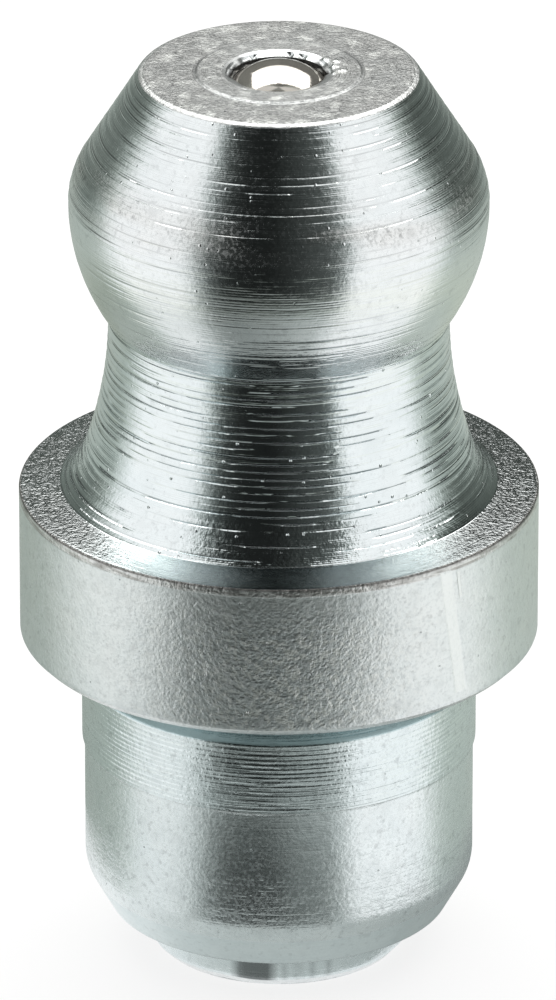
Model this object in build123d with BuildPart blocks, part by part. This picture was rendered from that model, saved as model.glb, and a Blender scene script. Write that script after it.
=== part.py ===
from build123d import *
import os
from math import acos, cos, degrees, radians, sin, sqrt, tan

os.makedirs("parts", exist_ok=True)

# Drive-in grease nipple: a turned steel body with a spring-loaded ball check valve in its nose.
# Millimetres. The origin is on the axis at the collar's seating face, and +Z points to the nose.
# Heights are counted from the seating face. Names that end in _d are diameters, in _r radii.

# ---- Driving dimensions -------------------------------------------------------------------------

# Coupler head: a ball whose upper side is turned to a nose cone, cut off by the flat tip face.
head_d = 6.5
head_height = 7.27  # to the centre of the head's ball
nose_half_angle = 32.0  # of the nose cone, from the axis
nose_cut_depth = 0.3  # how deep the cone cuts into the ball, square to the cone
nose_blend_r = 1.3  # where the cone runs into the ball
tip_height = 9.4
tip_edge = 0.055

# Orifice: a low turned boss on the tip face, with a shallow countersink into the throat.
boss_d = 2.58
boss_height = 0.02
boss_bevel = 0.02
countersink_width = 0.155
countersink_depth = 0.06
throat_length = 0.086

# Neck: a long, gentle arc that tightens into the foot on top of the collar.
neck_d = 5.29
neck_arc_r = 6.6
neck_arc_angle = 19.4  # slope from the axis where the neck arc runs into the foot arc
neck_corner_r = 0.2  # in the corner under the head
foot_arc_r = 1.37
foot_arc_angle = 48.8  # slope from the axis where the foot meets the collar's top

# Collar: what stops against the lubricated part.
collar_d = 8.1
collar_height = 2.5
collar_top_rise = 0.07  # its top falls by this much from the foot to the rim
collar_top_edge = 0.025
collar_bottom_edge = 0.12

# Shank: driven into a drilled hole. The relief groove under the collar is cut into the shank and a
# little into the collar's face, so that the collar seats flat outside the hole's edge.
relief_width = 0.4
relief_depth = 0.2
relief_face_depth = 0.06
relief_face_overlap = 0.05  # how far the groove in the face runs past the shank's radius
relief_face_slope = 0.1  # radial width of the groove's outer flank
shank_d = 6.18
pilot_d = 6.1  # the shank's lower part, which enters the hole first
shank_upper_length = 1.77  # from the seating face down to the pilot
pilot_length = 2.1
lead_length = 0.67
lead_half_angle = 29.0
lead_edge_r = 0.68

# Lip: the thin end of the shank, crimped inwards to keep the spring in.
lip_d = 4.1
lip_length = 0.725
lip_edge = 0.12
crimp_thickness = 0.45
crimp_hole_d = 1.5
crimp_dish_d = 2.8
crimp_dish_depth = 0.2

# Check valve: ball, seat and spring.
ball_d = 2.0
seat_half_angle = 45.0
seat_clearance = 0.015  # between the ball and its seat
seat_land = 0.006  # how far the seat runs on inwards past the ball's contact circle
ball_guide_clearance = 0.2  # between the ball and the bore
spring_wire_d = 0.25
spring_side_clearance = 0.12  # between the spring and the bore
spring_end_clearance = 0.01  # between the spring's ends and what they press on
spring_active_turns = 10
spring_wire_sides = 6  # the round wire is drawn with this many flats
spring_end_turns = 1  # closed turns at each end
spring_end_pitch = 0.27  # a little over the wire, so that closed turns don't merge

# ---- Derived sizes ------------------------------------------------------------------------------

head_r = head_d / 2
neck_r = neck_d / 2
collar_r = collar_d / 2
shank_r = shank_d / 2
pilot_r = pilot_d / 2
lip_r = lip_d / 2
ball_r = ball_d / 2
boss_r = boss_d / 2

# Levels below the seating face.
pilot_top_z = -shank_upper_length
pilot_end_z = pilot_top_z - pilot_length
lead_end_z = pilot_end_z - lead_length
lip_end_z = lead_end_z - lip_length
lead_end_r = pilot_r - lead_length * tan(radians(lead_half_angle))

# The seat cone touches a sphere that is larger than the ball by the seat clearance.
seat_angle = radians(seat_half_angle)
seat_sphere_r = ball_r + seat_clearance
seat_contact_r = seat_sphere_r * cos(seat_angle)
throat_r = seat_contact_r - seat_land
mouth_r = throat_r + countersink_width
boss_z = tip_height + boss_height
throat_top_z = boss_z - countersink_depth
seat_top_z = throat_top_z - throat_length
seat_contact_z = seat_top_z - seat_land / tan(seat_angle)
ball_z = seat_contact_z - seat_sphere_r * sin(seat_angle)
bore_r = ball_r + ball_guide_clearance
seat_end_z = seat_top_z - (bore_r - throat_r) / tan(seat_angle)

# The spring stands on the crimp, and its top turn bears on the ball from below.
crimp_hole_r = crimp_hole_d / 2
crimp_dish_r = crimp_dish_d / 2
crimp_top_z = lip_end_z + crimp_thickness
wire_r = spring_wire_d / 2
spring_r = bore_r - spring_side_clearance - wire_r  # to the middle of the wire
ball_to_wire = ball_r + wire_r + spring_end_clearance
spring_top_z = ball_z - sqrt(ball_to_wire**2 - spring_r**2)
spring_bottom_z = crimp_top_z + wire_r + spring_end_clearance
end_coil_height = spring_end_turns * spring_end_pitch
active_height = spring_top_z - spring_bottom_z - 2 * end_coil_height
active_pitch = active_height / spring_active_turns


def rings(part):
    """The full circles among the edges of a turned part."""
    return part.edges().filter_by(GeomType.CIRCLE).filter_by(lambda edge: edge.is_closed)


def ring_at(part, radius, height):
    """The one circular edge that has this radius at this height."""
    return rings(part).sort_by(lambda edge: abs(edge.radius - radius) + abs(edge.arc_center.Z - height))[0]


# ---- Body: turned from bar in one piece ---------------------------------------------------------

foot_slope = radians(foot_arc_angle)
neck_slope = radians(neck_arc_angle)
foot_reach = foot_arc_r * (cos(neck_slope) - cos(foot_slope))
neck_reach = neck_arc_r * (1 - cos(neck_slope))
foot_end_r = neck_r + neck_reach + foot_reach
foot_end_z = collar_height + collar_top_rise

# The nose cone passes the centre of the ball at cone_distance, and leaves the ball above its equator.
nose_slope = radians(nose_half_angle)
cone_distance = head_r - nose_cut_depth
tip_face_r = (cone_distance - (tip_height - head_height) * sin(nose_slope)) / cos(nose_slope)
nose_end_angle = nose_half_angle - degrees(acos(cone_distance / head_r))
nose_end_r = head_r * cos(radians(nose_end_angle))
nose_end_z = head_height + head_r * sin(radians(nose_end_angle))

with BuildPart() as body:
    # Shank, collar and neck. The neck runs on up inside the head.
    with BuildSketch(Plane.XZ):
        with BuildLine():
            Polyline(
                (0, head_height),
                (0, lip_end_z),
                (lip_r, lip_end_z),
                (lip_r, lead_end_z),
                (lead_end_r, lead_end_z),
                (pilot_r, pilot_end_z),
                (pilot_r, pilot_top_z),
                (shank_r, pilot_top_z),
                (shank_r, -relief_width - relief_depth),
                (shank_r - relief_depth, -relief_width),
                (shank_r - relief_depth, relief_face_depth),
                (shank_r + relief_face_overlap, relief_face_depth),
                (shank_r + relief_face_overlap + relief_face_slope, 0),
                (collar_r, 0),
                (collar_r, collar_height),
                (foot_end_r, foot_end_z),
            )
            foot_arc = JernArc(
                start=(foot_end_r, foot_end_z),
                tangent=(-sin(foot_slope), cos(foot_slope)),
                radius=foot_arc_r,
                arc_size=neck_arc_angle - foot_arc_angle,
            )
            neck_arc = JernArc(
                start=foot_arc @ 1,
                tangent=foot_arc % 1,
                radius=neck_arc_r,
                arc_size=-neck_arc_angle,
            )
            Polyline(neck_arc @ 1, (neck_r, head_height), (0, head_height))
        make_face()
    revolve(axis=Axis.Z)

    # Head.
    with BuildSketch(Plane.XZ):
        with BuildLine():
            ball_arc = CenterArc((0, head_height), head_r, -90, 90 + nose_end_angle)
            Polyline(ball_arc @ 1, (tip_face_r, tip_height), (0, tip_height), ball_arc @ 0)
        make_face()
    revolve(axis=Axis.Z)

    # Edges, from the nose down.
    fillet(ring_at(body, nose_end_r, nose_end_z), nose_blend_r)
    chamfer(ring_at(body, tip_face_r, tip_height), tip_edge)
    under_head = rings(body).filter_by_position(Axis.Z, foot_end_z, head_height).sort_by(Axis.Z)[-1]
    fillet(under_head, neck_corner_r)
    chamfer(ring_at(body, collar_r, collar_height), collar_top_edge)
    chamfer(ring_at(body, collar_r, 0), collar_bottom_edge)
    fillet(ring_at(body, pilot_r, pilot_end_z), lead_edge_r)
    chamfer(ring_at(body, lip_r, lip_end_z), lip_edge)

    # Boss on the tip face.
    with BuildSketch(Plane.XZ):
        Polygon(
            (0, tip_height),
            (boss_r, tip_height),
            (boss_r - boss_bevel, boss_z),
            (0, boss_z),
            align=None,
        )
    revolve(axis=Axis.Z)

    # Grease way: countersink, throat, seat cone, bore, and the hole that the crimp leaves.
    with BuildSketch(Plane.XZ):
        Polygon(
            (0, boss_z),
            (mouth_r, boss_z),
            (throat_r, throat_top_z),
            (throat_r, seat_top_z),
            (bore_r, seat_end_z),
            (bore_r, crimp_top_z),
            (crimp_hole_r, crimp_top_z),
            (crimp_hole_r, lip_end_z + crimp_dish_depth),
            (crimp_dish_r, lip_end_z),
            (0, lip_end_z),
            align=None,
        )
    revolve(axis=Axis.Z, mode=Mode.SUBTRACT)

body.part.label = "nipple_body"
export_step(body.part, "parts/nipple_body.step")

# ---- Check ball, held up on its seat ------------------------------------------------------------

with BuildPart() as ball:
    with Locations((0, 0, ball_z)):
        Sphere(ball_r)

ball.part.label = "check_ball"
export_step(ball.part, "parts/check_ball.step")

# ---- Ball spring: open turns between two closed end turns ---------------------------------------

with BuildPart() as spring:
    with BuildLine() as coil:
        lower_z = spring_bottom_z + end_coil_height
        upper_z = spring_top_z - end_coil_height
        Helix(spring_end_pitch, end_coil_height, spring_r, center=(0, 0, spring_bottom_z))
        Helix(active_pitch, active_height, spring_r, center=(0, 0, lower_z))
        Helix(spring_end_pitch, end_coil_height, spring_r, center=(0, 0, upper_z))
    with BuildSketch(Plane(origin=coil.line @ 0, z_dir=coil.line % 0)):
        RegularPolygon(wire_r, spring_wire_sides)
    sweep(path=coil.line)

spring.part.label = "ball_spring"
export_step(spring.part, "parts/ball_spring.step")
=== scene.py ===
from math import acos, cos, degrees, radians, sin, sqrt, tan

import bpy
import numpy as np
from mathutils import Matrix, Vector


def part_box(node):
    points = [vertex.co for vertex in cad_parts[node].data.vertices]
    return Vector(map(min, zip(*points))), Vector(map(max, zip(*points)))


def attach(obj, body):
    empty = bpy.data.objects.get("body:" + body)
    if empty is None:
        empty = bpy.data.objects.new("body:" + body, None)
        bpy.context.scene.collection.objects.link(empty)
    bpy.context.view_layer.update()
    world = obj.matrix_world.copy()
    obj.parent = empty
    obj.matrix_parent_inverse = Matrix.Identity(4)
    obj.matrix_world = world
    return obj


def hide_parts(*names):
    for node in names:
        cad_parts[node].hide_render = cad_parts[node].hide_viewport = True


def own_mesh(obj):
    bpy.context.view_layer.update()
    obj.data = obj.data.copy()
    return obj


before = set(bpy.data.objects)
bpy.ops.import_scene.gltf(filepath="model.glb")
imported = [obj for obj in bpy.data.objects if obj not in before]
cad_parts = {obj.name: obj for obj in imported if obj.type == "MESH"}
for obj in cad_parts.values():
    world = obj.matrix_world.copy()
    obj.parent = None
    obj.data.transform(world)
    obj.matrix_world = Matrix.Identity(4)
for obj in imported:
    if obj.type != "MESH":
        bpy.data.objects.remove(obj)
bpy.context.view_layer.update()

scene = bpy.context.scene

# Lengths are in millimetres, as in the CAD source, until they go into Blender.
MM = 0.001  # in metres
MICRON = 0.001  # in millimetres

# ---- Profile of the nipple's body, as in the CAD source ------------------------------------------

HEAD_R = 3.25
HEAD_Z = 7.27
TIP_Z = 9.4
TIP_EDGE_IN = 0.065  # width of the rounded edge on the tip face
TIP_EDGE_OUT = 0.045  # and down the cone
NOSE_ANGLE = radians(32)
NOSE_CUT = 0.3
NOSE_BLEND_R = 1.3

BOSS_R = 1.29
BOSS_HEIGHT = 0.02
COUNTERSINK_WIDTH = 0.155
COUNTERSINK_DEPTH = 0.06
THROAT_LENGTH = 0.086
SEAT_ANGLE = radians(45)
SEAT_R = 1.015  # of the sphere that the seat touches: the ball and its clearance
SEAT_LAND = 0.006
BALL_R = 1.0
BORE_R = 1.2

NECK_R = 2.645
NECK_ARC_R = 6.6
NECK_ANGLE = radians(19.4)
NECK_CORNER = 0.2
FOOT_ARC_R = 1.37
FOOT_ANGLE = radians(48.8)
FOOT_Z = 2.57

COLLAR_R = 4.05
COLLAR_Z = 2.5
COLLAR_TOP_EDGE = 0.025
COLLAR_TOP_FALL = 0.0025  # of the collar's top, over the width of that edge
COLLAR_RIM = 0.13  # height of the rim that carries the burr, with the edge
COLLAR_LOW_EDGE = 0.12

SHANK_R = 3.09
PILOT_R = 3.05
PILOT_TOP_Z = -1.77
RELIEF_WIDTH = 0.4
RELIEF_DEPTH = 0.2
RELIEF_FACE_DEPTH = 0.06
RELIEF_FACE_R = 3.14
RELIEF_MOUTH_R = 3.24
LEAD_TOP_Z = -3.87
LEAD_LENGTH = 0.67
LEAD_ANGLE = radians(29)
LEAD_EDGE_R = 0.68

LIP_R = 2.05
LIP_EDGE = 0.12
LIP_END_Z = -5.265
CRIMP_THICKNESS = 0.45
CRIMP_DISH_R = 1.4
CRIMP_DISH_DEPTH = 0.2
CRIMP_HOLE_R = 0.75

THROAT_R = SEAT_R * cos(SEAT_ANGLE) - SEAT_LAND
MOUTH_R = THROAT_R + COUNTERSINK_WIDTH
BOSS_Z = TIP_Z + BOSS_HEIGHT
THROAT_TOP_Z = BOSS_Z - COUNTERSINK_DEPTH
SEAT_TOP_Z = THROAT_TOP_Z - THROAT_LENGTH
BALL_Z = SEAT_TOP_Z - SEAT_LAND - SEAT_R * sin(SEAT_ANGLE)
SEAT_END_Z = SEAT_TOP_Z - (BORE_R - THROAT_R)
LEAD_END_Z = LEAD_TOP_Z - LEAD_LENGTH
LEAD_END_R = PILOT_R - LEAD_LENGTH * tan(LEAD_ANGLE)
HALF_TURN = radians(180)
EDGE_INSET = 0.012  # how far the points of a flank or an arc stop short of a sharp edge


def polar(centre, r, angle):
    """The point at this distance and angle from a centre."""
    return (centre[0] + r * cos(angle), centre[1] + r * sin(angle))


def line(start, end, step, zone, inset=EDGE_INSET):
    """Points along a straight flank. It stops short of its ends, which rounds the edges there."""
    start = np.array(start, float)
    way = np.array(end, float) - start
    length = np.hypot(*way)
    inset = min(inset, length * 0.25)
    count = max(2, int(round((length - 2 * inset) / step)) + 1)
    shares = np.linspace(inset / length, 1 - inset / length, count)
    return [(*(start + way * share), zone) for share in shares]


def arc(centre, r, start, end, step, zone, end_inset=False):
    """Points along an arc, from angle start to end about centre."""
    count = max(3, int(round(abs(end - start) * r / step)) + 1)
    inset = EDGE_INSET / r * np.sign(end - start)
    angles = np.linspace(start, end - inset * end_inset, count)
    return [(*polar(centre, r, angle), zone) for angle in angles]


def nose_profile():
    """From the mouth of the orifice over the tip face, down the cone and on to the head's ball."""
    cone_distance = HEAD_R - NOSE_CUT
    tip_r = (cone_distance - (TIP_Z - HEAD_Z) * sin(NOSE_ANGLE)) / cos(NOSE_ANGLE)
    blend_distance = HEAD_R - NOSE_BLEND_R
    turn = NOSE_ANGLE - acos((cone_distance - NOSE_BLEND_R) / blend_distance)
    blend = polar((0, HEAD_Z), blend_distance, turn)
    cone_end = polar(blend, NOSE_BLEND_R, NOSE_ANGLE)
    edge_in = (tip_r - TIP_EDGE_IN, TIP_Z)
    edge_out = (tip_r + TIP_EDGE_OUT * sin(NOSE_ANGLE), TIP_Z - TIP_EDGE_OUT * cos(NOSE_ANGLE))
    # A turned groove lies at the foot of the boss.
    boss_edge = (BOSS_R - 0.035, BOSS_Z)
    groove_bottom = (BOSS_R + 0.01, TIP_Z - 0.008)
    groove_edge = (BOSS_R + 0.035, TIP_Z)
    # The corner under the head is a small arc between the ball and the neck's cylinder.
    ball_end = -acos((NECK_R + NECK_CORNER) / (HEAD_R + NECK_CORNER))
    gap = 0.006  # in radians, between the end points of the ball and those of its neighbours
    return [
        *line((MOUTH_R, BOSS_Z), boss_edge, 0.022, "boss"),
        *line(boss_edge, groove_bottom, 0.02, "boss_groove", 0.006),
        *line(groove_bottom, groove_edge, 0.02, "boss_groove", 0.006),
        *line(groove_edge, edge_in, 0.022, "tip", 0.006),
        *line(edge_in, edge_out, 0.03, "tip_edge"),
        *line(edge_out, cone_end, 0.023, "nose"),
        *arc(blend, NOSE_BLEND_R, NOSE_ANGLE, turn, 0.03, "nose"),
        *arc((0, HEAD_Z), HEAD_R, turn - gap, ball_end + gap, 0.036, "head"),
    ]


def neck_profile():
    """From the corner under the head to the collar's top edge."""
    foot_reach = FOOT_ARC_R * (cos(NECK_ANGLE) - cos(FOOT_ANGLE))
    foot_r = NECK_R + NECK_ARC_R * (1 - cos(NECK_ANGLE)) + foot_reach
    foot_centre = polar((foot_r, FOOT_Z), FOOT_ARC_R, FOOT_ANGLE)
    join = polar(foot_centre, -FOOT_ARC_R, NECK_ANGLE)
    neck_centre = polar(join, NECK_ARC_R, NECK_ANGLE)
    corner_r = NECK_R + NECK_CORNER
    drop = sqrt((HEAD_R + NECK_CORNER) ** 2 - corner_r**2)
    corner = (corner_r, HEAD_Z - drop)
    corner_start = HALF_TURN - acos(corner_r / (HEAD_R + NECK_CORNER))
    foot_start = HALF_TURN + NECK_ANGLE + 0.012
    top_edge = (COLLAR_R - COLLAR_TOP_EDGE, COLLAR_Z + COLLAR_TOP_FALL)
    return [
        *arc(corner, NECK_CORNER, corner_start, HALF_TURN, 0.04, "neck"),
        *line((NECK_R, corner[1]), (NECK_R, neck_centre[1]), 0.022, "neck", 0.02),
        *arc(neck_centre, NECK_ARC_R, HALF_TURN, HALF_TURN + NECK_ANGLE, 0.022, "neck"),
        *arc(foot_centre, FOOT_ARC_R, foot_start, HALF_TURN + FOOT_ANGLE, 0.022, "foot", end_inset=True),
        *line((foot_r, FOOT_Z), top_edge, 0.05, "collar_top"),
        *line(top_edge, (COLLAR_R, COLLAR_Z - COLLAR_TOP_EDGE), 0.02, "collar_edge"),
    ]


def collar_profile():
    """From the collar's top edge to the seating face and the relief groove under it."""
    relief_r = SHANK_R - RELIEF_DEPTH
    rim_foot = (COLLAR_R, COLLAR_Z - COLLAR_RIM)
    return [
        *line((COLLAR_R, COLLAR_Z - COLLAR_TOP_EDGE), rim_foot, 0.02, "collar_rim"),
        *line(rim_foot, (COLLAR_R, COLLAR_LOW_EDGE), 0.06, "collar_side"),
        *line((COLLAR_R, COLLAR_LOW_EDGE), (COLLAR_R - COLLAR_LOW_EDGE, 0), 0.05, "collar_low"),
        *line((COLLAR_R - COLLAR_LOW_EDGE, 0), (RELIEF_MOUTH_R, 0), 0.2, "seat_face"),
        *line((RELIEF_MOUTH_R, 0), (RELIEF_FACE_R, RELIEF_FACE_DEPTH), 0.05, "relief"),
        *line((RELIEF_FACE_R, RELIEF_FACE_DEPTH), (relief_r, RELIEF_FACE_DEPTH), 0.1, "relief"),
        *line((relief_r, RELIEF_FACE_DEPTH), (relief_r, -RELIEF_WIDTH), 0.06, "relief"),
        *line((relief_r, -RELIEF_WIDTH), (SHANK_R, -RELIEF_WIDTH - RELIEF_DEPTH), 0.04, "relief_low"),
    ]


def shank_profile():
    """From the relief groove to the end of the crimped lip."""
    lead_centre = (PILOT_R - LEAD_EDGE_R, LEAD_TOP_Z + LEAD_EDGE_R * tan(LEAD_ANGLE / 2))
    lead_start = polar(lead_centre, LEAD_EDGE_R, -LEAD_ANGLE)
    return [
        *line((SHANK_R, -RELIEF_WIDTH - RELIEF_DEPTH), (SHANK_R, PILOT_TOP_Z), 0.0135, "shank"),
        *line((SHANK_R, PILOT_TOP_Z), (PILOT_R, PILOT_TOP_Z), 0.02, "step", 0.008),
        *line((PILOT_R, PILOT_TOP_Z), (PILOT_R, lead_centre[1]), 0.045, "pilot"),
        *arc(lead_centre, LEAD_EDGE_R, 0, -LEAD_ANGLE, 0.045, "pilot"),
        *line(lead_start, (LEAD_END_R, LEAD_END_Z), 0.045, "lead"),
        *line((LEAD_END_R, LEAD_END_Z), (LIP_R, LEAD_END_Z), 0.08, "lead_face", 0.02),
        *line((LIP_R, LEAD_END_Z), (LIP_R, LIP_END_Z + LIP_EDGE), 0.05, "lip"),
        *line((LIP_R, LIP_END_Z + LIP_EDGE), (LIP_R - LIP_EDGE, LIP_END_Z), 0.05, "lip_edge"),
        *line((LIP_R - LIP_EDGE, LIP_END_Z), (CRIMP_DISH_R, LIP_END_Z), 0.12, "lip_end"),
    ]


def grease_way_profile():
    """From the dish in the crimp up through the bore, the seat and the throat to the mouth."""
    dish_z = LIP_END_Z + CRIMP_DISH_DEPTH
    crimp_z = LIP_END_Z + CRIMP_THICKNESS
    return [
        *line((CRIMP_DISH_R, LIP_END_Z), (CRIMP_HOLE_R, dish_z), 0.1, "inside"),
        *line((CRIMP_HOLE_R, dish_z), (CRIMP_HOLE_R, crimp_z), 0.1, "inside"),
        *line((CRIMP_HOLE_R, crimp_z), (BORE_R, crimp_z), 0.15, "inside"),
        *line((BORE_R, crimp_z), (BORE_R, SEAT_END_Z), 1.2, "inside"),
        *line((BORE_R, SEAT_END_Z), (THROAT_R, SEAT_TOP_Z), 0.12, "inside", 0.005),
        *line((THROAT_R, SEAT_TOP_Z), (THROAT_R, THROAT_TOP_Z), 0.03, "throat", 0.004),
        *line((THROAT_R, THROAT_TOP_Z), (MOUTH_R, BOSS_Z), 0.018, "mouth", 0.006),
    ]


def body_profile():
    """The closed outline of half a lengthwise cut, as points (radius, height, zone)."""
    return nose_profile() + neck_profile() + collar_profile() + shank_profile() + grease_way_profile()


# ---- Finish of each zone --------------------------------------------------------------------------

# Roughness, feed of the tool in mm a turn, depth of the tool lines, dirt and painted shadow in them, hair
# lines, grain (relief), mottle (stain), brightness, and tint (brown above 0, green-blue below).
QUALITIES = ("rough", "feed", "lines", "line_shade_and_dirt", "hair", "grain", "mottle", "shade", "tint")
FINISH = {
    "boss": (0.42, 0.05, 0.3, 0.5, 0.8, 0.6, 0.8, 0.46, 0.3),
    "boss_groove": (0.42, 0.05, 0.0, 0.0, 0.3, 0.6, 0.8, 0.6, 0.2),
    "tip": (0.44, 0.06, 0.1, 0.1, 0.6, 1.1, 1.1, 0.44, 0.35),
    "tip_edge": (0.4, 0.05, 0.0, 0.0, 0.1, 0.5, 0.5, 0.78, 0.35),
    "nose": (0.1, 0.115, 0.33, 0.6, 0.7, 0.07, 0.35, 1.0, -0.05),
    "head": (0.12, 0.16, 0.2, 0.4, 0.6, 0.06, 0.35, 1.0, -0.05),
    "neck": (0.06, 0.115, 1.5, 0.45, 0.5, 0.07, 0.25, 1.0, -0.2),
    "foot": (0.06, 0.115, 1.25, 0.35, 0.45, 0.15, 0.35, 1.0, -0.15),
    "collar_top": (0.15, 0.1, 0.1, 0.1, 0.5, 0.1, 0.3, 0.3, -0.5),
    "collar_edge": (0.4, 0.05, 0.0, 0.0, 0.2, 0.8, 1.0, 0.35, 1.0),
    "collar_rim": (0.34, 0.05, 0.0, 0.0, 0.1, 0.6, 0.6, 0.95, 0.4),
    "collar_side": (0.34, 0.1, 0.0, 0.0, 0.05, 0.2, 0.4, 0.95, -0.1),
    "collar_low": (0.34, 0.1, 0.0, 0.0, 0.1, 0.5, 0.6, 1.0, 0.2),
    # Painted shade: the seating face and the relief groove under the collar are darker than the collar's
    # side.
    "seat_face": (0.35, 0.1, 0.4, 0.3, 0.4, 0.3, 0.5, 0.75, -0.2),
    "relief": (0.25, 0.1, 0.2, 0.2, 0.3, 0.2, 0.4, 0.8, -0.3),
    "relief_low": (0.12, 0.1, 0.1, 0.1, 0.2, 0.05, 0.2, 0.75, -1.0),
    "shank": (0.15, 0.077, 0.15, 0.0, 0.3, 0.22, 0.5, 1.0, -0.3),
    "step": (0.3, 0.1, 0.0, 0.0, 0.2, 0.3, 0.5, 0.85, 0.1),
    "pilot": (0.22, 0.1, 0.05, 0.1, 0.25, 0.2, 0.5, 1.0, -0.2),
    "lead": (0.33, 0.1, 0.1, 0.1, 0.3, 0.15, 0.3, 0.99, -0.3),
    "lead_face": (0.4, 0.1, 0.2, 0.2, 0.3, 0.3, 0.5, 0.9, 0.1),
    "lip": (0.25, 0.1, 0.1, 0.1, 0.2, 0.15, 0.3, 0.97, -0.3),
    "lip_edge": (0.3, 0.1, 0.1, 0.1, 0.2, 0.2, 0.4, 0.95, 0),
    "lip_end": (0.4, 0.1, 0.1, 0.1, 0.2, 0.3, 0.5, 0.9, 0),
    "inside": (0.4, 0.1, 0.3, 0.2, 0.3, 0.3, 0.3, 0.8, 0),
    # The throat is painted near black: painted shade in the hole.
    "throat": (0.6, 0.1, 0.0, 0.0, 0.2, 0.4, 0.5, 0.08, 0.5),
    "mouth": (0.2, 0.1, 0.0, 0.0, 0.2, 0.2, 0.3, 0.95, 0.1),
}


def quality(zone, name):
    return FINISH[zone][QUALITIES.index(name)]


# ---- Marks of turning and wear --------------------------------------------------------------------

RING = 144  # steps round the axis
FEED_PITCH = 0.15
SHANK_PITCH = 0.077
DEEP_LINE_WIDTH = 0.018
CHIPPED_R = 0.8  # the chips reach this far into the mouth's bevel
RIM_R = 0.775  # and painted shade darkens it to here

# Chips in the throat's edge: azimuth and half width, in degrees.
CHIPS = ((-90, 13), (-112, 6), (-137, 7), (-150, 3), (167, 3), (152, 4), (120, 6), (95, 5))

# Flakes on the boss: azimuth in degrees, distance from the axis, and size.
FLAKES = ((90, 0.97, 0.1), (101, 0.86, 0.1), (112, 0.94, 0.1), (122, 0.83, 0.09), (82, 0.85, 0.06))

# Single deeper tool lines on the nose, neck and foot: height, and depth in microns.
DEEP_LINES = (
    (9.13, 1.5),
    (8.95, 2),
    (8.62, 2.5),
    (4.95, 4),
    (4.72, 3),
    (4.31, 5),
    (4.02, 3),
    (3.62, 6),
    (3.45, 4),
    (3.12, 5),
    (2.9, 5),
    (2.78, 4),
)


def fade(x, low, high):
    """0 at low, 1 at high, in proportion between them, and level beyond."""
    return np.clip((x - low) / (high - low), 0, 1)


def bell(x, width):
    """1 at zero, falling smoothly to both sides."""
    return np.exp(-((x / width) ** 2))


class Surface:
    """A turned surface: one row for each point of its profile, one column for each step round the axis."""

    def __init__(self, path, zones, length):
        self.r = path[:, 0, None]
        self.z = path[:, 1, None]
        self.distance = np.concatenate([[0], np.cumsum(length)[:-1]])  # along the profile
        self.zones = zones
        self.theta = np.arange(RING) / RING * 2 * np.pi
        self.degree = (np.degrees(self.theta) + 180) % 360 - 180  # 0 in front, positive to the right
        self.side = np.abs(self.degree)

    def on(self, *names):
        """1 on the zones of these names, 0 elsewhere."""
        return np.isin(self.zones, names)[:, None] * 1.0

    def away(self, azimuth):
        """Degrees from this azimuth, the short way round."""
        return (self.degree - azimuth + 180) % 360 - 180

    def wander(self, pitch, seed):
        """Smooth random values from -1 to 1 along the profile, one knot every pitch."""
        rng = np.random.default_rng(seed)
        count = int(self.distance[-1] / pitch) + 3
        return np.interp(self.distance, np.arange(count) * pitch, rng.uniform(-1, 1, count))[:, None]

    def scallops(self, pitch, seed, uneven=0.35):
        """Feed marks of the turning tool: round troughs with a crest every pitch, from -1 to 1."""
        drift = self.distance[:, None] + self.wander(pitch * 2.3, seed) * pitch * uneven
        return np.abs(np.sin(np.pi * drift / pitch)) * -2 + 1

    def field(self, cell_angle, cell_length, seed):
        """Smooth random field over angle and length, -1 to 1, which closes round the axis."""
        rng = np.random.default_rng(seed)
        columns = max(3, int(round(2 * np.pi / cell_angle)))
        rows = int(self.distance[-1] / cell_length) + 3
        grid = rng.uniform(-1, 1, (rows, columns))
        across = (self.theta / (2 * np.pi) * columns) % columns
        down = self.distance / cell_length
        column = across.astype(int) % columns
        row = down.astype(int)
        part_across = across - np.floor(across)
        part_down = down - row
        part_across = part_across * part_across * (3 - 2 * part_across)
        part_down = (part_down * part_down * (3 - 2 * part_down))[:, None]

        def blended(row):
            after = grid[row][:, (column + 1) % columns]
            return grid[row][:, column] * (1 - part_across) + after * part_across

        return blended(row) * (1 - part_down) + blended(row + 1) * part_down


def chips_on(surface):
    """How far the throat's edge is chipped away: 0 where it is whole, about 1 in a chip."""
    return sum(bell(surface.away(azimuth), width) for azimuth, width in CHIPS)


def flakes_on(surface):
    """Flakes beside the mouth: 1 in the middle of each, 0 off them."""
    flakes = 0
    for azimuth, r, size in FLAKES:
        apart = np.hypot(np.radians(surface.away(azimuth)) * r, surface.r - r)
        flakes = np.maximum(flakes, np.clip(1 - apart / size, 0, 1))
    return flakes


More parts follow.
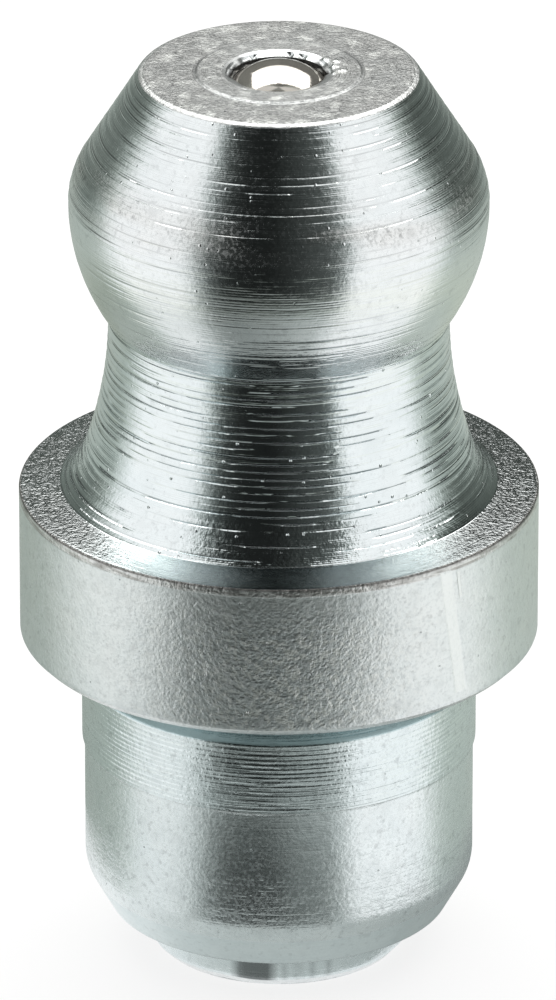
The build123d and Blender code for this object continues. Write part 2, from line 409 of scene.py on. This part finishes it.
def worn_shape(surface, chips, flakes):
    """How far turning and wear move each point along the normal."""
    on, wander, field = surface.on, surface.wander, surface.field
    move = np.zeros((len(surface.distance), RING))
    # Feed marks.
    marks = surface.scallops(FEED_PITCH, 3) * 2.8 * MICRON + wander(0.05, 4) * 2 * MICRON
    move += (on("nose", "neck") + on("foot") * 0.5) * marks
    move += on("head") * (wander(0.11, 5) * 1.1 + wander(0.3, 6) * 1.2) * MICRON
    uneven = (1 + 0.8 * field(0.06, 0.05, 14)) * (0.3 + 0.7 * bell(surface.degree, 35))
    move += on("shank") * (surface.scallops(SHANK_PITCH, 7, 0.15) - 1) * 6 * MICRON * uneven
    move += on("pilot", "lead") * (wander(0.12, 8) - 1) * 0.8 * MICRON
    move += on("tip", "boss") * wander(0.045, 9) * MICRON
    for height, depth in DEEP_LINES:
        move -= on("nose", "neck", "foot") * depth * MICRON * bell(surface.z - height, DEEP_LINE_WIDTH)
    # Uneven plating and handling dents.
    move += on("collar_side") * (field(0.09, 0.16, 11) - 1) * 1.2 * MICRON
    move += on("tip", "boss") * field(0.12, 0.12, 12) * 1.2 * MICRON
    # The throat's edge is chipped, and flakes stand up from the boss on one side of the mouth.
    move -= on("throat") * chips * 60 * MICRON
    move -= on("mouth") * chips * (surface.r < CHIPPED_R) * 50 * MICRON
    move += on("boss", "mouth") * flakes * 30 * MICRON
    move += on("boss_groove") * field(0.1, 0.03, 15) * 4 * MICRON
    # The crimp leaves flats round the lip.
    flats = np.cos(surface.theta * 8 + 0.7) * 0.5 + np.cos(surface.theta * 13 + 2.1) * 0.35
    move += on("lip", "lip_edge") * (flats - 1) * 12 * MICRON
    return move


def worn_finish(surface, chips, flakes):
    """The qualities of the finish at each point, by name: those of its zone, and what wear adds."""
    on, degree, side = surface.on, surface.degree, surface.side
    finish = {}
    for name in QUALITIES:
        finish[name] = np.array([quality(zone, name) for zone in surface.zones])[:, None] + np.zeros(RING)
    del finish["feed"]  # the lathe counts its turns instead
    # The collar's top is smooth in front and dented round its sides. Its brightness is painted light and
    # shade: its low base shade keeps the front dull and dark, painted light lifts it round the sides, and a
    # painted gleam makes it bright behind and at one spot to the left of the front.
    aside = on("collar_top") * fade(side, 32, 57)
    finish["grain"] += aside * 0.4
    finish["mottle"] += aside * 0.5
    finish["tint"] += aside * 0.4
    painted_light_aside = fade(side, 20, 35) * 0.12 + fade(side, 70, 85) * 0.14
    painted_gleam = fade(side, 132, 144) * 0.3 + bell(degree + 36, 13) * 0.3
    finish["shade"] += on("collar_top") * (painted_light_aside + painted_gleam)
    # The collar's side is pitted in front, most of all on its lower half.
    pitted = on("collar_side") * bell(degree, 24) * np.interp(surface.z, [0.3, 1.6, 2.3], [1, 1, 0.2])
    finish["grain"] += pitted * 0.4
    finish["mottle"] += pitted * 0.5
    finish["shade"] -= pitted * 0.14
    finish["speck"] = pitted
    # A rougher, browner belt runs where the nose meets the head.
    uneven = np.clip(surface.field(0.3, 0.2, 16) + 0.5, 0, 1)
    belt = on("nose", "head") * bell(surface.z - 7.85, 0.3) * uneven
    finish["tint"] += belt * 0.5
    finish["rough"] += belt * 0.07
    finish["mottle"] += belt * 0.6
    # The tool lines are deepest in front. Round the sides, more painted shade lies in them.
    finish["lines"] *= 1 - on("neck", "foot") * fade(side, 20, 35) * 0.5
    finish["line_shade_and_dirt"] += on("nose", "neck", "foot") * fade(side, 48, 60) * 0.7
    # Painted shade: the groove round the boss is darkened away from the front, so it catches the light only
    # in front.
    finish["shade"] -= on("boss_groove") * fade(side, 60, 100) * 0.3
    # Painted shade: the mouth's bevel is rough and dark like the boss except at the back, so it is bright
    # only there, and it is painted black round the chipped rim of the throat.
    dull_and_shaded = on("mouth") * fade(np.abs(degree + 3), 137, 131)
    finish["shade"] += dull_and_shaded * (quality("boss", "shade") - quality("mouth", "shade"))
    finish["rough"] += dull_and_shaded * (quality("boss", "rough") - quality("mouth", "rough"))
    painted_rim_shade = on("mouth") * fade(surface.r, RIM_R, RIM_R - 0.02) * np.clip(0.25 + chips, 0, 1)
    finish["shade"] += painted_rim_shade * (0.05 - finish["shade"])
    bright = on("boss", "mouth") * np.clip(flakes * 3, 0, 1)
    finish["shade"] += bright * (0.95 - finish["shade"])
    finish["rough"] += bright * (0.25 - finish["rough"])
    # A burnt brown burr runs along the collar's edge.
    burr = on("collar_rim") * np.clip(surface.field(0.05, 0.03, 13) * 1.5 + 0.2, 0, 1)
    finish["shade"] -= burr * 0.4
    finish["tint"] += burr * 0.5
    # The lip has a patch of painted shade in front and stripes of painted shade on the small flats beside
    # it, where it reflects dark.
    painted_lip_shade = fade(np.minimum(degree + 22, -degree), 0, 5)
    painted_lip_shade += 0.35 * np.clip(np.sin(degree * 0.9), 0, 1) * (np.abs(degree - 14) < 15)
    finish["shade"] -= on("lip") * painted_lip_shade * 0.7
    # The plating on the tip face is bleached in patches.
    finish["bleach"] = on("tip", "boss") * (0.35 + 0.35 * np.clip(surface.field(0.5, 0.3, 17), 0, 1))
    return finish


def add_mesh(name, points, faces, smooth=0):
    """An object from points in mm. So many of its first faces are shaded smooth."""
    mesh = bpy.data.meshes.new(name)
    mesh.from_pydata((np.array(points, float) * MM).tolist(), [], faces)
    mesh.polygons.foreach_set("use_smooth", np.arange(len(faces)) < smooth)
    piece = bpy.data.objects.new(name, mesh)
    scene.collection.objects.link(piece)
    return piece


def lathe_mesh(name, profile):
    """A closed turned solid with its wear, and with the finish at each point as attributes."""
    path = np.array([point[:2] for point in profile])
    zones = np.array([point[2] for point in profile])
    count = len(path)
    ahead = np.roll(path, -1, 0) - path
    length = np.hypot(*ahead.T)
    direction = ahead / length[:, None]
    normal = np.stack([-direction[:, 1], direction[:, 0]], 1)
    normal = normal + np.roll(normal, 1, 0)
    normal /= np.hypot(*normal.T)[:, None]
    surface = Surface(path, zones, length)
    chips, flakes = chips_on(surface), flakes_on(surface)
    move = worn_shape(surface, chips, flakes)
    r = surface.r + normal[:, 0, None] * move
    z = surface.z + normal[:, 1, None] * move
    across, back = np.sin(surface.theta), -np.cos(surface.theta)
    points = np.stack([r * across, r * back, z], -1).reshape(-1, 3)
    row, column = np.meshgrid(np.arange(count), np.arange(RING), indexing="ij")
    next_row = (row + 1) % count * RING
    next_column = (column + 1) % RING
    corners = [row * RING + column, next_row + column, next_row + next_column, row * RING + next_column]
    faces = np.stack(corners, -1).reshape(-1, 4).tolist()
    piece = add_mesh(name, points, faces, smooth=len(faces))
    # The unrolled surface: angle across, length down. Hidden surfaces get little room.
    weight = length * np.where(np.isin(zones, ["inside", "throat", "seat_face"]), 0.15, 1.0)
    down = np.concatenate([[0], np.cumsum(weight)]) / weight.sum()
    left, right = column / RING, (column + 1) / RING
    top, bottom = down[row], down[row + 1]
    flat = np.stack([left, top, left, bottom, right, bottom, right, top], -1).reshape(-1)
    piece.data.uv_layers.new(name="OFBake").data.foreach_set("uv", flat.astype(np.float32))
    # Where a point is as the lathe sees it: its direction from the axis, and the turns made so far.
    feed = np.array([quality(zone, "feed") for zone in zones])
    turns = np.concatenate([[0], np.cumsum(length / feed)[:-1]])[:, None]
    turn = np.stack(np.broadcast_arrays(across, back, turns), -1).reshape(-1)
    attribute = piece.data.attributes.new("turn", "FLOAT_VECTOR", "POINT")
    attribute.data.foreach_set("vector", turn.astype(np.float32))
    for quality_name, values in worn_finish(surface, chips, flakes).items():
        attribute = piece.data.attributes.new(quality_name, "FLOAT", "POINT")
        attribute.data.foreach_set("value", values.reshape(-1).astype(np.float32))
    piece.data.update()
    return piece


# ---- Materials ----------------------------------------------------------------------------------


class Nodes:
    """A material, and short ways to lay its shader nodes."""

    def __init__(self, name):
        self.material = bpy.data.materials.new(name)
        self.material.use_nodes = True
        self.tree = self.material.node_tree
        self.tree.nodes.clear()

    def add(self, kind, **values):
        """A node, with its settings and inputs by name."""
        node = self.tree.nodes.new("ShaderNode" + kind)
        for key, value in values.items():
            if hasattr(node, key):
                setattr(node, key, value)
            else:
                self.put(node, key.replace("_", " "), value)
        return node

    def put(self, node, socket, value):
        """Sets an input, or links another node's output to it."""
        target = node.inputs[socket]
        if isinstance(value, bpy.types.NodeSocket):
            self.tree.links.new(value, target)
        else:
            target.default_value = value

    def math(self, kind, *values, clamp=False):
        node = self.tree.nodes.new("ShaderNodeMath")
        node.operation = kind
        node.use_clamp = clamp
        for k, value in enumerate(values):
            self.put(node, k, value)
        return node.outputs[0]

    def times(self, first, *others):
        """The product of all these."""
        for other in others:
            first = self.math("MULTIPLY", first, other)
        return first

    def most(self, first, *others):
        """The largest of these."""
        for other in others:
            first = self.math("MAXIMUM", first, other)
        return first

    def attribute(self, name, output="Fac"):
        node = self.tree.nodes.new("ShaderNodeAttribute")
        node.attribute_name = name
        return node.outputs[output]

    def scaled(self, vector, scale):
        node = self.tree.nodes.new("ShaderNodeVectorMath")
        node.operation = "MULTIPLY"
        self.put(node, 0, vector)
        self.put(node, 1, scale)
        return node.outputs[0]

    def place(self):
        """Where a point is on its object, in mm."""
        return self.scaled(self.add("TexCoord").outputs["Object"], (1 / MM, 1 / MM, 1 / MM))

    def noise(self, vector, scale, detail=2.0, rough=0.5):
        node = self.add("TexNoise", Vector=vector, Scale=scale, Detail=detail, Roughness=rough)
        return node.outputs["Fac"]

    def ramp(self, value, low, high, to_low=0.0, to_high=1.0):
        node = self.add("MapRange", clamp=True)
        for k, x in enumerate((value, low, high, to_low, to_high)):
            self.put(node, k, x)
        return node.outputs[0]

    def mix(self, factor, first, second, blend="MIX"):
        """Colour first, with colour second blended over it by factor."""
        node = self.tree.nodes.new("ShaderNodeMix")
        node.data_type = "RGBA"
        node.blend_type = blend
        self.put(node, 0, factor)
        self.put(node, 6, first)
        self.put(node, 7, second)
        return node.outputs[2]

    def bump(self, height, microns, normal=None, sunk=False):
        node = self.add("Bump", Strength=1.0, Distance=microns * MICRON * MM, Height=height)
        node.invert = sunk
        if normal is not None:
            self.put(node, "Normal", normal)
        return node.outputs["Normal"]

    def glow(self, colour):
        """An even glow of strength 1."""
        return self.add("Emission", Color=colour, Strength=1.0).outputs[0]

    def finished(self, shader):
        """The finished material, with this shader on its surface."""
        self.put(self.add("OutputMaterial"), 0, shader)
        return self.material

    def metal(self, **values):
        """The finished material: one Principled shader with these inputs."""
        return self.finished(self.add("BsdfPrincipled", **values).outputs[0])


def tool_lines(n, turn, per_turn, spread, low, high, half):
    """Grooves round the axis. Each fades in and out along its own way round. Returns the groove, and a
    painted shadow along one side of it.
    """
    split = n.add("SeparateXYZ", Vector=turn).outputs
    count = n.times(split[2], per_turn)
    whole = n.math("FLOOR", count)
    part = n.math("FRACT", count)
    x = n.times(split[0], spread)
    y = n.times(split[1], spread)
    own_place = n.add("CombineXYZ", X=x, Y=y, Z=n.times(whole, 5.37)).outputs[0]  # another for each groove
    strength = n.ramp(n.noise(own_place, 1.0, 3.0, 0.6), low, high)
    groove = n.ramp(n.math("ABSOLUTE", n.math("SUBTRACT", part, 0.5)), half, 0.0)
    shadow = n.ramp(n.math("ABSOLUTE", n.math("SUBTRACT", part, 0.5 - half)), half * 0.8, 0.0)
    return n.times(groove, strength), n.times(shadow, strength)


# Rubs and nicks on the collar's side: azimuth at their foot in degrees, lean in degrees a mm, half width
# in degrees, lowest and highest point in mm.
SCRATCHES = (
    (44.0, -2.2, 1.9, 0.25, 2.42),
    (43.8, -2.0, 0.5, 1.85, 2.35),
    (-16.2, 0.5, 0.35, 0.96, 1.2),
    (22.5, 1.5, 0.3, 1.35, 1.59),
)
SCRATCH_END = 0.04  # length over which a rub fades out


def scratch(n, turn, place, azimuth, lean, half_width, low, high):
    """A straight rub up the collar's side, from 0 to 1."""
    way = n.add("SeparateXYZ", Vector=turn).outputs
    up = n.add("SeparateXYZ", Vector=place).outputs[2]
    angle = n.math("ARCTAN2", way[0], n.times(way[1], -1.0))
    middle = n.math("MULTIPLY_ADD", up, radians(lean), radians(azimuth) - radians(lean) * low)
    off = n.math("ABSOLUTE", n.math("SUBTRACT", angle, middle))
    inside = n.ramp(off, radians(half_width), radians(half_width) * 0.7)
    return n.times(inside, n.ramp(up, low, low + SCRATCH_END), n.ramp(up, high, high - SCRATCH_END))


def dots(n, cells, channel, low, high, outer, inner):
    """Round dots in some cells of a Voronoi pattern: those with this colour channel above low."""
    chosen = n.ramp(n.add("SeparateColor", Color=cells.outputs["Color"]).outputs[channel], low, high)
    return n.times(n.ramp(cells.outputs["Distance"], outer, inner), chosen)


def zinc_material():
    """Bright zinc plate on turned steel. The finish comes from the attributes that the lathe left."""
    n = Nodes("zinc_plate")
    place = n.place()
    turn = n.attribute("turn", "Vector")
    lines, line_shade_and_dirt, hair = n.attribute("lines"), n.attribute("line_shade_and_dirt"), n.attribute("hair")
    grain, mottle, tint = n.attribute("grain"), n.attribute("mottle"), n.attribute("tint")
    # Patterns.
    bold, bold_shadow = tool_lines(n, turn, 1.0, 1.3, 0.44, 0.62, 0.18)
    thin, thin_shadow = tool_lines(n, turn, 3.7, 4.5, 0.4, 0.7, 0.4)
    cloud = n.noise(place, 1.3, 4.0, 0.6)
    blobs = n.noise(place, 9.0, 2.0, 0.6)
    fine = n.noise(place, 20.0, 1.0, 0.5)
    blotches = n.noise(place, 3.2, 3.0, 0.6)
    speckle = n.noise(place, 11.0, 3.0, 0.65)
    haze = n.noise(n.scaled(turn, (0.8, 0.8, 0.5)), 1.0, 4.0, 0.65)
    spots = n.times(n.ramp(fine, 0.5, 0.66), mottle)
    pits = n.times(n.ramp(blobs, 0.45, 0.3), mottle)
    stains = n.times(n.ramp(blotches, 0.5, 0.36), mottle)
    pale_blotches = n.times(n.ramp(blotches, 0.52, 0.66), n.attribute("bleach"))
    pale_specks = n.times(n.ramp(speckle, 0.5, 0.57), n.attribute("speck"))
    cells = n.add("TexVoronoi", Vector=place, Scale=5.0)
    nodules = n.times(dots(n, cells, 0, 0.6, 0.62, 0.13, 0.02), lines)
    pores = n.times(dots(n, cells, 1, 0.8, 0.82, 0.11, 0.05), mottle)
    rubbed = n.most(*[scratch(n, turn, place, *values) for values in SCRATCHES])
    # Colour: bluish bright zinc, a little uneven, tinted brown or green-blue, darker in pits, and in tool
    # lines with dirt and painted shadow.
    base = n.mix(n.ramp(cloud, 0.35, 0.65), (0.87, 0.91, 0.92, 1), (0.91, 0.94, 0.945, 1))
    base = n.mix(n.ramp(tint, 0.0, 1.0, 0.0, 0.5), base, (0.72, 0.66, 0.6, 1))
    base = n.mix(n.ramp(tint, 0.0, -1.0, 0.0, 0.6), base, (0.6, 0.86, 0.9, 1))
    # Dirt and painted shadow in the tool lines, then pits, stains, pores and spots.
    shade_and_dirt_in_lines = n.most(n.times(bold_shadow, line_shade_and_dirt, 0.85), n.times(thin_shadow, hair, 0.3))
    dark = n.most(shade_and_dirt_in_lines, n.times(pits, 0.5), n.times(stains, 0.2), pores)
    dark = n.math("MAXIMUM", dark, n.times(spots, 0.15), clamp=True)
    base = n.mix(dark, base, (0.12, 0.125, 0.13, 1))
    base = n.mix(rubbed, base, (0.93, 0.97, 0.97, 1))
    shade = n.attribute("shade")
    grey = n.add("CombineColor", Red=shade, Green=shade, Blue=shade).outputs[0]
    base = n.mix(1.0, base, grey, "MULTIPLY")
    base = n.mix(n.most(pale_blotches, pale_specks), base, (0.88, 0.9, 0.88, 1))
    # Roughness.
    dulled = n.times(n.ramp(haze, 0.45, 0.65, 0.0, 0.09), hair)
    rough = n.math("ADD", n.attribute("rough"), dulled)
    rough = n.math("ADD", rough, n.times(spots, 0.25), clamp=True)
    # Relief.
    normal = n.bump(n.times(bold, lines), 20, sunk=True)
    normal = n.bump(n.times(thin, hair), 4.5, normal, sunk=True)
    normal = n.bump(nodules, 20, normal)
    normal = n.bump(rubbed, 5, normal, sunk=True)
    normal = n.bump(pores, 10, normal, sunk=True)
    normal = n.bump(n.times(n.ramp(blobs, 0.46, 0.7), grain), 8, normal)
    normal = n.bump(n.times(fine, grain), 18, normal)
    return n.metal(Base_Color=base, Metallic=1.0, Roughness=rough, Normal=normal)


def ball_material():
    n = Nodes("bearing_steel")
    place = n.place()
    cloud = n.noise(place, 2.2, 3.0)
    scuffs = n.noise(place, 40.0, 2.0)
    return n.metal(
        Base_Color=n.mix(n.ramp(cloud, 0.3, 0.7), (0.53, 0.505, 0.46, 1), (0.6, 0.575, 0.53, 1)),
        Metallic=0.82,
        Roughness=n.ramp(cloud, 0.3, 0.7, 0.03, 0.09),
        Specular_Tint=(0.3, 0.3, 0.3, 1),
        Normal=n.bump(scuffs, 0.2),
    )


def spring_material():
    n = Nodes("spring_wire")
    drawn = n.noise(n.place(), 30.0, 3.0)
    return n.metal(
        Base_Color=n.mix(n.ramp(drawn, 0.3, 0.7), (0.4, 0.4, 0.4, 1), (0.52, 0.52, 0.51, 1)),
        Metallic=1.0,
        Roughness=n.ramp(drawn, 0.3, 0.7, 0.28, 0.42),
        Normal=n.bump(drawn, 2),
    )


# ---- Pieces -------------------------------------------------------------------------------------

body = lathe_mesh("nipple_body_turned", body_profile())
body.data.materials.append(zinc_material())
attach(body, "nipple")
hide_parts("nipple_body")


def sphere(name, radius, height, rows=72, columns=96):
    """A ball of rows of quads, closed by triangles at both poles."""
    azimuths = np.arange(columns) / columns * 2 * np.pi
    points = [(0, 0, height - radius)]
    for elevation in np.pi * (np.arange(1, rows) / rows) - np.pi / 2:
        r = radius * cos(elevation)
        z = height + radius * sin(elevation)
        points += [(r * sin(azimuth), -r * cos(azimuth), z) for azimuth in azimuths]
    points.append((0, 0, height + radius))
    top = len(points) - 1
    faces = []
    for j in range(columns):
        k = (j + 1) % columns
        faces.append((0, 1 + k, 1 + j))
        faces.append((top, top - columns + j, top - columns + k))
        for i in range(rows - 2):
            low = 1 + i * columns
            high = low + columns
            faces.append((low + j, low + k, high + k, high + j))
    return add_mesh(name, points, faces, smooth=len(faces))


ball = sphere("check_ball_ground", BALL_R, BALL_Z)
ball.data.materials.append(ball_material())
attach(ball, "ball")
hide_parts("check_ball")

SPRING_SIDE_CLEARANCE = 0.12
SPRING_END_PITCH = 0.27
OPEN_TURNS = 10
WIRE_R = 0.125
WIRE_DRAWN_R = WIRE_R * 0.995  # the round wire stays inside the CAD box


def coil(name, radius, wire, low, high, sides=12, steps=28):
    """The round wire of the spring: a closed turn at each end, open turns between."""
    total = OPEN_TURNS + 2
    count = total * steps
    turns = np.linspace(0, total, count + 1)
    angle = turns * 2 * np.pi
    heights = [low, low + SPRING_END_PITCH, high - SPRING_END_PITCH, high]
    z = np.interp(turns, [0, 1, total - 1, total], heights)
    centre = np.stack([radius * np.cos(angle), radius * np.sin(angle), z], 1)
    out = np.stack([np.cos(angle), np.sin(angle), np.zeros(count + 1)], 1)
    along = np.gradient(centre, axis=0)
    along /= np.linalg.norm(along, axis=1)[:, None]
    up = np.cross(along, out)
    around = (np.arange(sides) / sides * 2 * np.pi)[None, :, None]
    points = centre[:, None] + wire * (np.cos(around) * out[:, None] + np.sin(around) * up[:, None])
    faces = []
    for i in range(count):
        for j in range(sides):
            k = (j + 1) % sides
            faces.append((i * sides + j, i * sides + k, (i + 1) * sides + k, (i + 1) * sides + j))
    faces.append(tuple(reversed(range(sides))))
    faces.append(tuple(count * sides + j for j in range(sides)))
    return add_mesh(name, points.reshape(-1, 3), faces, smooth=len(faces) - 2)


spring_low, spring_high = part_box("ball_spring")
spring = coil(
    "ball_spring_coil",
    BORE_R - SPRING_SIDE_CLEARANCE - WIRE_R,
    WIRE_DRAWN_R,
    spring_low.z / MM + WIRE_R,
    spring_high.z / MM - WIRE_R,
)
spring.data.materials.append(spring_material())
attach(spring, "nipple")
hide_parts("ball_spring")
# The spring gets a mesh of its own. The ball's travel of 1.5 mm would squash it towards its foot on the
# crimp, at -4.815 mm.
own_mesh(spring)

# ---- Studio: pale floor, white surround, one overhead softbox, and a tent seen in reflections ------


# The tent's cloth glows with painted light and shade.
def tent_material():
    n = Nodes("tent_painted_glow")
    return n.finished(n.glow(n.attribute("level", "Color")))


def floor_material():
    """Pale paint that glows a little where it is looked at, so that it is near white but keeps a shadow."""
    n = Nodes("studio_floor")
    path = n.add("LightPath").outputs
    seen = n.most(path["Is Camera Ray"], path["Is Glossy Ray"], path["Is Transmission Ray"])
    paint = n.add("BsdfDiffuse", Color=(0.9, 0.9, 0.9, 1)).outputs[0]
    mix = n.add("MixShader")
    n.put(mix, 0, n.times(seen, 0.78))
    n.put(mix, 1, paint)
    n.put(mix, 2, n.glow((1, 1, 1, 1)))
    return n.finished(mix.outputs[0])


FLOOR_Z = LIP_END_Z - 0.001
FLOOR_HALF = 600
TENT_FOOT_Z = FLOOR_Z + 0.02

corners = [(x * FLOOR_HALF, y * FLOOR_HALF, FLOOR_Z) for x, y in ((-1, -1), (1, -1), (1, 1), (-1, 1))]
floor = add_mesh("floor", corners, [(0, 1, 2, 3)])
floor.data.materials.append(floor_material())

# The tent is no lamp: it glows with painted light and shade and is seen only in reflections. A direction is
# an azimuth from the front, positive to the right, and a height above the horizon, both in degrees. Levels
# run from 0, black, to 1, white.
TENT_R = 100.0
EYE_Z = 5.0  # height on the part from which the directions are counted
EYE_R = 3.0  # and the part's radius there

# The softbox: its edges, and its height above EYE_Z.
LAMP_LEFT = -90
LAMP_RIGHT = 112
LAMP_FRONT = 12
LAMP_BACK = 168
LAMP_HEIGHT = 120

# The dim back of the tent: levels by height, on its left and its right.
BACK_HEIGHTS = (-62, -49, -35, -25, -15, -5, 5, 15, 30)
BACK_LEFT = (0.4, 0.43, 0.37, 0.49, 0.46, 0.22, 0.17, 0.15, 0.11)
BACK_RIGHT = (0.48, 0.54, 0.56, 0.56, 0.37, 0.17, 0.12, 0.1, 0.04)


def direction_of(position, radius):
    """Azimuth in which the part reflects the point at this azimuth and radius about the axis."""
    azimuths = np.linspace(-180, 180, 721)
    parallax = np.degrees(np.arcsin(min(1, EYE_R / radius) * np.sin(np.radians(azimuths) / 2)))
    return np.interp(position, azimuths - parallax, azimuths)


def opening(azimuth):
    """The dark side in front, from its left edge to its right one."""
    left = np.interp(
        azimuth,
        [-60, -54, -50, -46, -42, -38, -33, -28, -22, -5],
        [1, 0.95, 0.8, 0.5, 0.24, 0.1, 0.045, 0.025, 0.015, 0.012],
    )
    right = np.interp(
        azimuth,
        [-5, 5, 12, 20, 27, 32, 36, 40, 44],
        [0.012, 0.025, 0.04, 0.06, 0.08, 0.14, 0.35, 0.8, 1],
    )
    return np.maximum(left, right)


def floor_in_front(azimuth):
    """The floor of the tent before the opening."""
    return np.interp(
        azimuth,
        [-66, -56, -47, -40, -25, 0, 12, 25, 32, 38, 50, 60],
        [0.85, 0.6, 0.36, 0.26, 0.26, 0.34, 0.43, 0.52, 0.65, 0.84, 1, 1],
    )


def back_share(azimuth):
    """How far a direction lies in the dim back: 0 at the white side panels, 1 behind the part."""
    return np.interp(
        azimuth,
        [-127, -121, -115, -109, -103, -96, 90, 96, 101, 107, 113, 120],
        [1, 0.94, 0.8, 0.5, 0.2, 0, 0, 0.18, 0.45, 0.75, 0.92, 1],
    )


def greenish(level, red=1.0, blue=1.0):
    """The tent's colour at this level: its shadows are a little green."""
    shadow = 1 - level
    return (level * red * (1 - 0.11 * shadow), level, level * blue * (1 - 0.05 * shadow), 1)


def tent_colour(azimuth, height):
    """The colour of the floor and the dome of the tent in this direction."""
    # The opening is wider at its top.
    if azimuth > 0:
        wider = 1 + np.interp(height, [5, 40, 60], [0, 0.17, 0.28])
    else:
        wider = 1 + np.interp(height, [32, 46, 60], [0, 0.14, 0.3])
    near_floor = np.interp(height, [-42, -28], [1, 0])
    front = opening(azimuth / wider) * (1 - near_floor) + floor_in_front(azimuth) * near_floor
    front += (1 - front) * np.interp(height, [78, 86], [0, 0.3])
    # The back reaches further round near the floor on the left, and a little less far above.
    if azimuth < 0:
        share = back_share(azimuth + np.interp(height, [-40, -30, 0, 12], [-8, 0, 0, 4]))
        back = np.interp(height, BACK_HEIGHTS, BACK_LEFT)
    else:
        share = back_share(azimuth)
        back = np.interp(height, BACK_HEIGHTS, BACK_RIGHT)
    warm = 1 - 0.05 * np.interp(height, [-45, -36, -30, -25], [0, 1, 1, 0])
    return greenish(front * (1 - share) + back * share, 1 - 0.04 * share, warm - 0.06 * share)


def tent(name, rows, colour, material, keep=None, steps=120, left=-180, right=180):
    """Rings of quads through rows of (radius, height). keep says which quads stay."""
    azimuths = np.linspace(left, right, steps + 1)
    points = [(r * sin(radians(a)), -r * cos(radians(a)), z) for r, z in rows for a in azimuths]
    colours = [colour(a, r, z) for r, z in rows for a in azimuths]
    faces = []
    for i in range(len(rows) - 1):
        for j in range(steps):
            k = i * (steps + 1) + j
            quad = (k, k + 1, k + steps + 2, k + steps + 1)
            if keep is None or keep(np.mean([points[corner] for corner in quad], axis=0)):
                faces.append(quad)
    piece = add_mesh(name, points, faces)
    attribute = piece.data.attributes.new("level", "FLOAT_COLOR", "POINT")
    attribute.data.foreach_set("color", np.array(colours, np.float32).reshape(-1))
    piece.data.materials.append(material)
    piece.visible_camera = False
    piece.visible_diffuse = False
    piece.visible_shadow = False


def wall_colour(azimuth, r, z):
    height = degrees(np.arctan2(z - EYE_Z, r - EYE_R))
    return tent_colour(direction_of(azimuth, r), height)


def low_card_colour(azimuth, r, z):
    """A card of painted shade round the part's foot: darker towards the middle, more so near the floor."""
    level = np.interp(
        direction_of(azimuth, r),
        [-60, -52, -45, -38, -30, -22, -8, 2, 10, 20, 30, 36, 42, 48],
        [0.85, 0.65, 0.4, 0.2, 0.12, 0.09, 0.08, 0.14, 0.22, 0.27, 0.33, 0.5, 0.8, 1],
    )
    return greenish(level ** np.interp(z, [-4.9, -4.2, -3.0, -1.9], [1.7, 1.35, 0.85, 0.5]))


def contact_colour(azimuth, r, z):
    """Painted contact shadow on the floor just round the part, which the lip and the lead reflect."""
    level = np.interp(
        azimuth,
        [-180, -150, -90, -60, -45, -20, 20, 45, 60, 90, 120, 150, 180],
        [0.6, 0.85, 0.95, 0.8, 0.65, 0.52, 0.5, 0.45, 0.4, 0.36, 0.32, 0.34, 0.6],
    )
    return greenish(level)


def clear_of_lamp(point):
    """True where the tent's cloth doesn't hang before the softbox, as the part sees it."""
    x, y, up = point[0], point[1], point[2] - EYE_Z
    if up <= 0:
        return True
    x, y = x / up * LAMP_HEIGHT, y / up * LAMP_HEIGHT
    return not (LAMP_LEFT < x < LAMP_RIGHT and LAMP_FRONT < y < LAMP_BACK)


painted_glow = tent_material()
CARD_R = 5.8
floor_rows = [(r, TENT_FOOT_Z) for r in (CARD_R, 7, 9, 11, 13, 15, 17, 19, 22, 26, 32, 42, 60, 80, 99.9)]
tent("tent_floor", floor_rows, wall_colour, painted_glow)
dome_rows = [(TENT_R * cos(e), TENT_FOOT_Z + TENT_R * sin(e)) for e in np.radians(np.arange(0, 91, 3))]
tent("tent_dome", dome_rows, wall_colour, painted_glow, clear_of_lamp)
card_rows = [(CARD_R, z) for z in (TENT_FOOT_Z, -4.2, -3.0, -2.0, -1.6)]
tent("tent_low_card", card_rows, low_card_colour, painted_glow, steps=40, left=-45, right=38)
tent("tent_contact_shadow", [(2.3, FLOOR_Z + 0.01), (CARD_R, FLOOR_Z + 0.01)], contact_colour, painted_glow)

lamp_data = bpy.data.lights.new("softbox", "AREA")
lamp_data.shape = "RECTANGLE"
lamp_data.size = (LAMP_RIGHT - LAMP_LEFT) * MM
lamp_data.size_y = (LAMP_BACK - LAMP_FRONT) * MM
lamp_data.energy = 0.198
lamp_data.color = (1.0, 0.98, 0.94)
lamp = bpy.data.objects.new("softbox", lamp_data)
lamp.location = (
    (LAMP_LEFT + LAMP_RIGHT) / 2 * MM,
    (LAMP_FRONT + LAMP_BACK) / 2 * MM,
    (LAMP_HEIGHT + EYE_Z) * MM,
)
lamp.visible_camera = False
scene.collection.objects.link(lamp)

world = bpy.data.worlds.new("surround")
scene.world = world
world.use_nodes = True
background = world.node_tree.nodes["Background"]
background.inputs["Color"].default_value = (1, 1, 1, 1)
background.inputs["Strength"].default_value = 1.0

# ---- Camera -------------------------------------------------------------------------------------

ELEVATION = radians(24.312)
DISTANCE = 0.1982  # in metres
AIM = Vector((0, 0, 0.001684))  # the point on the axis that the camera faces, in metres

camera_data = bpy.data.cameras.new("camera")
camera_data.sensor_width = 24
camera_data.lens = 304.99
camera_data.shift_x = -0.0009
camera_data.shift_y = 0.0299
camera_data.clip_start = 0.01
camera_data.clip_end = 10
camera = bpy.data.objects.new("camera", camera_data)
camera.location = Vector((0, -cos(ELEVATION), sin(ELEVATION))) * DISTANCE + AIM
camera.rotation_euler = (radians(90) - ELEVATION, 0, 0)
scene.collection.objects.link(camera)
scene.camera = camera
scene.view_settings.view_transform = "Standard"
